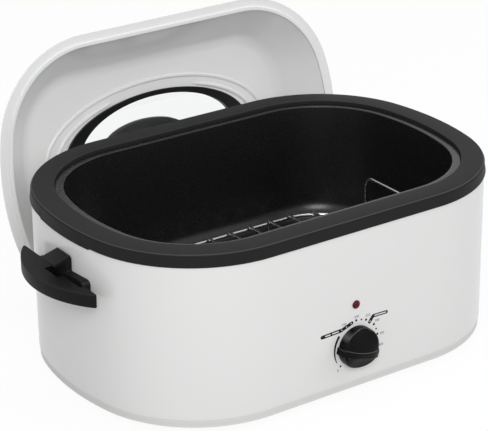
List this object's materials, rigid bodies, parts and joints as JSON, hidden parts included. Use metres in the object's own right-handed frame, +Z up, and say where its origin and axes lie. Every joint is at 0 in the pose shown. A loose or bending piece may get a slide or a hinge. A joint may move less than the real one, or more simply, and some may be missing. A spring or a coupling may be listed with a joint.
{
  "type": "electric roaster oven",
  "caption": "Countertop roaster oven: oval body with rim collar, lift-out roasting pan and wire rack, wing handles, control knob, and a loose domed lid with a window, stood behind it.",
  "frame": {"origin": "centre of the base pan's flat underside, under the middle of the body; the rubber feet reach 4 mm below it", "axes": "+X along the body's long side, to the right as seen from the knob; -Y the side with the control knob; +Z up"},
  "size_m": [0.6, 0.5037, 0.3256],
  "materials": {
    "base_plastic": "light grey moulded plastic",
    "foot_rubber": "black rubber",
    "gasket_rubber": "black silicone",
    "bright_steel": "bright sheet steel",
    "zinc_screw": "zinc-plated steel",
    "shell_paint": "satin light grey-white paint",
    "collar_plastic": "charcoal moulded plastic",
    "handle_plastic": "black moulded plastic",
    "window_frame": "black moulded plastic",
    "knob_plastic": "glossy black plastic",
    "liner_steel": "aluminium-coated steel",
    "heater_sheath": "dull metal sheath",
    "glass_fibre": "glass-fibre felt",
    "fuse_ceramic": "white sleeve",
    "thermostat_case": "dark heat-proof plastic",
    "shaft_steel": "turned steel",
    "lamp_red": "clear red plastic",
    "pan_enamel": "dark speckled enamel",
    "rack_chrome": "chromed wire",
    "lid_enamel": "light enamel",
    "lid_glass": "clear tempered glass"
  },
  "bodies": {
    "base": {"base_pan": "base_plastic", "bushing_nut": "zinc_screw", "collar_screws": "zinc_screw", "cord_bushing": "thermostat_case", "foot_back_left": "foot_rubber", "foot_back_right": "foot_rubber", "foot_front_left": "foot_rubber", "foot_front_right": "foot_rubber", "fuse_strap": "bright_steel", "handle_left": "handle_plastic", "handle_right": "handle_plastic", "handle_screws": "zinc_screw", "heat_shield": "bright_steel", "heater_clips": "bright_steel", "heating_rope_lower": "heater_sheath", "heating_rope_upper": "heater_sheath", "insulation_blanket": "glass_fibre", "lamp_body": "thermostat_case", "lamp_clip": "bright_steel", "lamp_lens": "lamp_red", "liner": "liner_steel", "liner_spacers": "bright_steel", "liner_studs": "zinc_screw", "outer_shell": "shell_paint", "stud_nuts": "zinc_screw", "terminal_block": "thermostat_case", "thermal_fuse": "fuse_ceramic", "thermostat": "thermostat_case", "top_collar": "collar_plastic"},
    "knob": {"control_knob": "knob_plastic", "thermostat_shaft": "shaft_steel"},
    "pan": {"roasting_pan": "pan_enamel"},
    "rack": {"wire_rack": "rack_chrome", "rack_bars": "rack_chrome", "rack_bails": "rack_chrome"},
    "lid": {"lid_shell": "lid_enamel", "window_ring": "window_frame", "window_bezel": "window_frame", "lid_window": "lid_glass", "handle_gaskets": "gasket_rubber", "handle_washers": "bright_steel", "lid_handle": "handle_plastic", "lid_handle_screws": "zinc_screw"}
  },
  "joints": [
    {"name": "knob_turn", "type": "hinge", "parent": "base", "child": "knob", "pos_m": [0, -0.183, 0.055], "axis": [0, -1, 0], "range_deg": [-204, 59]},
    {"name": "pan_lift", "type": "slide", "parent": "base", "child": "pan", "axis": [0, 0, 1], "range_m": [0, 0.16]},
    {"name": "rack_lift", "type": "slide", "parent": "pan", "child": "rack", "axis": [0, 0, 1], "range_m": [0, 0.16]},
    {"name": "lid_lift", "type": "slide", "parent": "base", "child": "lid", "axis": [0, 0, 1], "range_m": [0, 0.26]}
  ]
}
